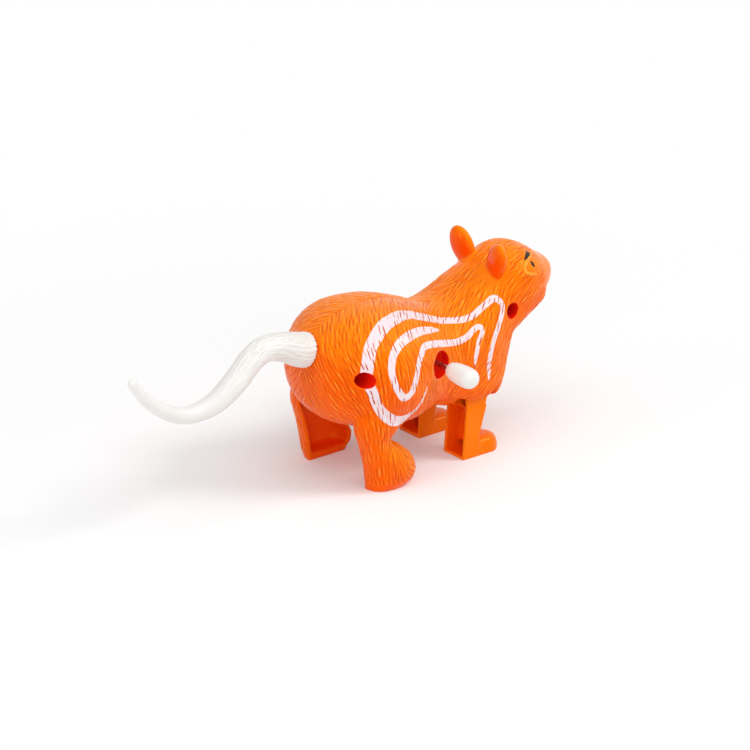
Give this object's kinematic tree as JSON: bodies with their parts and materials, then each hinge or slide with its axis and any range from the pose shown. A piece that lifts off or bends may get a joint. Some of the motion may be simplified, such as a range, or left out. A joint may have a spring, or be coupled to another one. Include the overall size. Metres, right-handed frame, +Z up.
{
  "type": "wind-up mouse",
  "caption": "Clockwork toy mouse: two moulded half shells over a spring motor whose crank lifts the front legs, with a winding knob at the side and an S-shaped tail.",
  "frame": {"origin": "middle of the outline box, on the surface that the feet stand on", "axes": "+X from tail to nose, +Y to the mouse's left, +Z up"},
  "size_m": [0.1464, 0.056, 0.0592],
  "materials": {
    "orange_plastic": "gloss",
    "white_plastic": "gloss",
    "steel": "satin",
    "spring_steel": "satin",
    "brass": "satin",
    "nylon": "matte"
  },
  "bodies": {
    "chassis": {"right_shell": "orange_plastic", "left_shell": "orange_plastic", "tail": "white_plastic", "shell_screws": "steel", "motor_case": "nylon", "motor_cover": "nylon", "cover_screws": "steel", "mainspring": "spring_steel"},
    "winding_key": {"winding_knob": "white_plastic", "winding_shaft": "steel", "spring_hub": "nylon", "great_wheel": "brass"},
    "second_set": {"second_wheel": "brass", "second_arbor": "steel"},
    "crank": {"crank_pinion": "brass", "crank_shaft": "steel", "crank_disc_right": "nylon", "crank_disc_left": "nylon", "crank_pin_caps": "nylon"},
    "escape_set": {"escape_wheel": "brass", "escape_arbor": "steel"},
    "pallet_set": {"pallet": "brass", "pallet_arbor": "steel"},
    "right_leg": {"front_leg_right": "orange_plastic"},
    "left_leg": {"front_leg_left": "orange_plastic"}
  },
  "joints": [
    {"name": "crank_turn", "type": "hinge", "parent": "chassis", "child": "crank", "pos_m": [0.0362, 0.005, 0.02148], "axis": [0, 1, 0], "continuous": true},
    {"name": "key_turn", "type": "hinge", "parent": "chassis", "child": "winding_key", "pos_m": [0.0215, 0.005, 0.0332], "axis": [0, 1, 0], "continuous": true},
    {"name": "second_turn", "type": "hinge", "parent": "chassis", "child": "second_set", "pos_m": [0.03098, 0.005, 0.03001], "axis": [0, 1, 0], "continuous": true},
    {"name": "escape_turn", "type": "hinge", "parent": "chassis", "child": "escape_set", "pos_m": [0.04006, 0.005, 0.0342], "axis": [0, 1, 0], "continuous": true},
    {"name": "pallet_rock", "type": "hinge", "parent": "chassis", "child": "pallet_set", "pos_m": [0.04604, 0.005, 0.0326], "axis": [0, 1, 0], "range_deg": [-5, 5]},
    {"name": "right_leg_hang", "type": "hinge", "parent": "crank", "child": "right_leg", "pos_m": [0.0362, -0.0036, 0.02298], "axis": [0, 1, 0], "continuous": true},
    {"name": "left_leg_hang", "type": "hinge", "parent": "crank", "child": "left_leg", "pos_m": [0.0362, 0.0136, 0.02298], "axis": [0, 1, 0], "continuous": true}
  ],
  "couplings": [
    {"joint": "key_turn", "follows": "crank_turn", "ratio": 0.11111},
    {"joint": "second_turn", "follows": "crank_turn", "ratio": -0.33333},
    {"joint": "escape_turn", "follows": "crank_turn", "ratio": 1},
    {"joint": "right_leg_hang", "follows": "crank_turn", "ratio": -1},
    {"joint": "left_leg_hang", "follows": "crank_turn", "ratio": -1}
  ]
}
